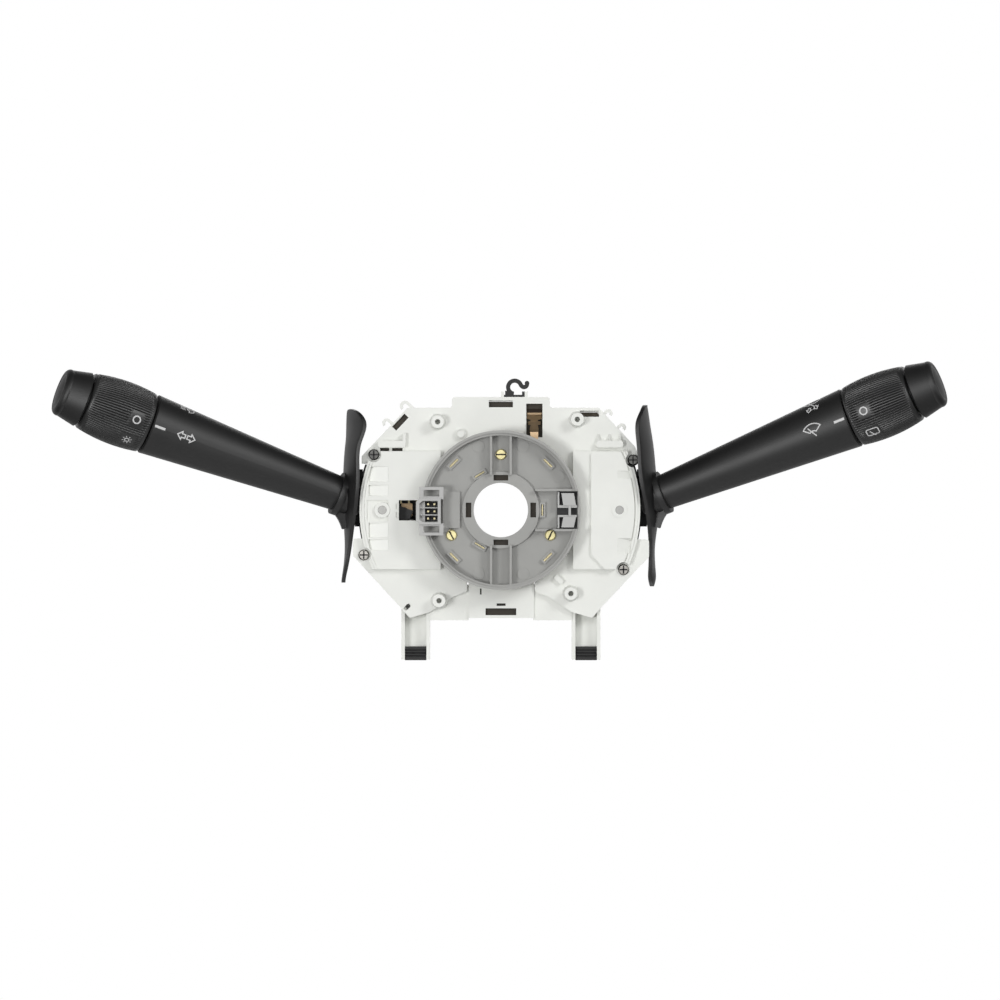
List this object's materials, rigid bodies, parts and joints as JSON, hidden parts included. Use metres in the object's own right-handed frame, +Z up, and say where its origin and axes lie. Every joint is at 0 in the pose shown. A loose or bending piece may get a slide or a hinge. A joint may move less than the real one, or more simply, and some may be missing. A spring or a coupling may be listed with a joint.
{
  "type": "combination stalk switch",
  "caption": "Steering-column switch: white carrier with a grey slip-ring rotor and two black stalks with ribbed rings and closing blades.",
  "frame": {"origin": "on the steering-column axis, inside the column sleeve, 6 mm behind the carrier plate's front face", "axes": "+X to the driver's right, +Z up, +Y away from the driver along the column"},
  "size_m": [0.4013, 0.0709, 0.1342],
  "materials": {
    "white_housing": "semi-gloss off-white moulded plastic",
    "brown_board": "matt brown insulating laminate",
    "black_screw": "blackened steel",
    "zinc_screw": "zinc-plated steel",
    "steel_pin": "ground steel",
    "contact_bronze": "spring bronze, lightly tarnished",
    "gloss_black": "glossy black plastic",
    "black_pad": "matt black rubber",
    "black_base": "matt black plastic",
    "terminal_brass": "tinned brass strip",
    "grey_rotor": "satin mid-grey moulded plastic",
    "yellow_brass": "yellow passivated slotted screws",
    "light_grey": "satin light grey moulded plastic",
    "stalk_black": "satin black plastic with a fine grain",
    "ring_black": "satin black plastic, finely ridged for grip"
  },
  "bodies": {
    "housing": {"carrier": "white_housing", "terminal_board": "brown_board", "upper_cassette_screws": "black_screw", "lower_cassette_screws": "zinc_screw", "contact_finger": "contact_bronze", "cable_hook": "gloss_black", "leg_pads": "black_pad", "left_cover": "white_housing", "left_base": "black_base", "left_terminal_pins": "terminal_brass", "right_cover": "white_housing", "right_base": "black_base", "right_terminal_pins": "terminal_brass", "lower_board": "brown_board"},
    "rotor": {"rotor_disc": "grey_rotor", "slip_ring": "terminal_brass", "rotor_screws": "yellow_brass", "rotor_terminals": "terminal_brass", "rotor_connector": "light_grey", "rotor_connector_pins": "terminal_brass", "rotor_clip": "light_grey", "clip_tray": "black_base", "hub_pads": "brown_board"},
    "left_rocker": {"left_rocker": "black_base", "left_pivot_pins": "steel_pin", "left_cross_pin": "steel_pin", "left_detent_plunger": "steel_pin", "left_detent_spring": "steel_pin", "left_contact_bridge": "contact_bronze"},
    "left_stalk": {"left_lever": "stalk_black", "left_blade": "stalk_black", "left_cap": "stalk_black"},
    "left_ring": {"left_ring": "ring_black"},
    "right_rocker": {"right_rocker": "black_base", "right_pivot_pins": "steel_pin", "right_cross_pin": "steel_pin", "right_detent_plunger": "steel_pin", "right_detent_spring": "steel_pin", "right_contact_bridge": "contact_bronze"},
    "right_stalk": {"right_lever": "stalk_black", "right_blade": "stalk_black", "right_cap": "stalk_black"},
    "right_ring": {"right_ring": "ring_black"}
  },
  "joints": [
    {"name": "rotor_turn", "type": "hinge", "parent": "housing", "child": "rotor", "pos_m": [0, -0.009, 0], "axis": [0, 1, 0], "continuous": true},
    {"name": "left_turn", "type": "hinge", "parent": "housing", "child": "left_rocker", "pos_m": [-0.0533, 0.006, 0], "axis": [0, 1, 0], "range_deg": [-8, 8]},
    {"name": "left_pull", "type": "hinge", "parent": "left_rocker", "child": "left_stalk", "pos_m": [-0.0533, 0.006, 0], "axis": [0.3469, 0, 0.9379], "range_deg": [-5, 5], "stiffness_Nm_per_rad": 3},
    {"name": "left_ring_turn", "type": "hinge", "parent": "left_stalk", "child": "left_ring", "pos_m": [-0.0533, 0.006, 0], "axis": [-0.9174, -0.2079, 0.3394], "range_deg": [0, 60]},
    {"name": "right_turn", "type": "hinge", "parent": "housing", "child": "right_rocker", "pos_m": [0.0533, 0.006, 0], "axis": [0, 1, 0], "range_deg": [-5, 13.5]},
    {"name": "right_pull", "type": "hinge", "parent": "right_rocker", "child": "right_stalk", "pos_m": [0.0533, 0.006, 0], "axis": [0.3714, 0, -0.9285], "range_deg": [0, 6], "stiffness_Nm_per_rad": 3},
    {"name": "right_ring_turn", "type": "hinge", "parent": "right_stalk", "child": "right_ring", "pos_m": [0.0533, 0.006, 0], "axis": [-0.9082, 0.2079, -0.3633], "range_deg": [0, 30]}
  ]
}
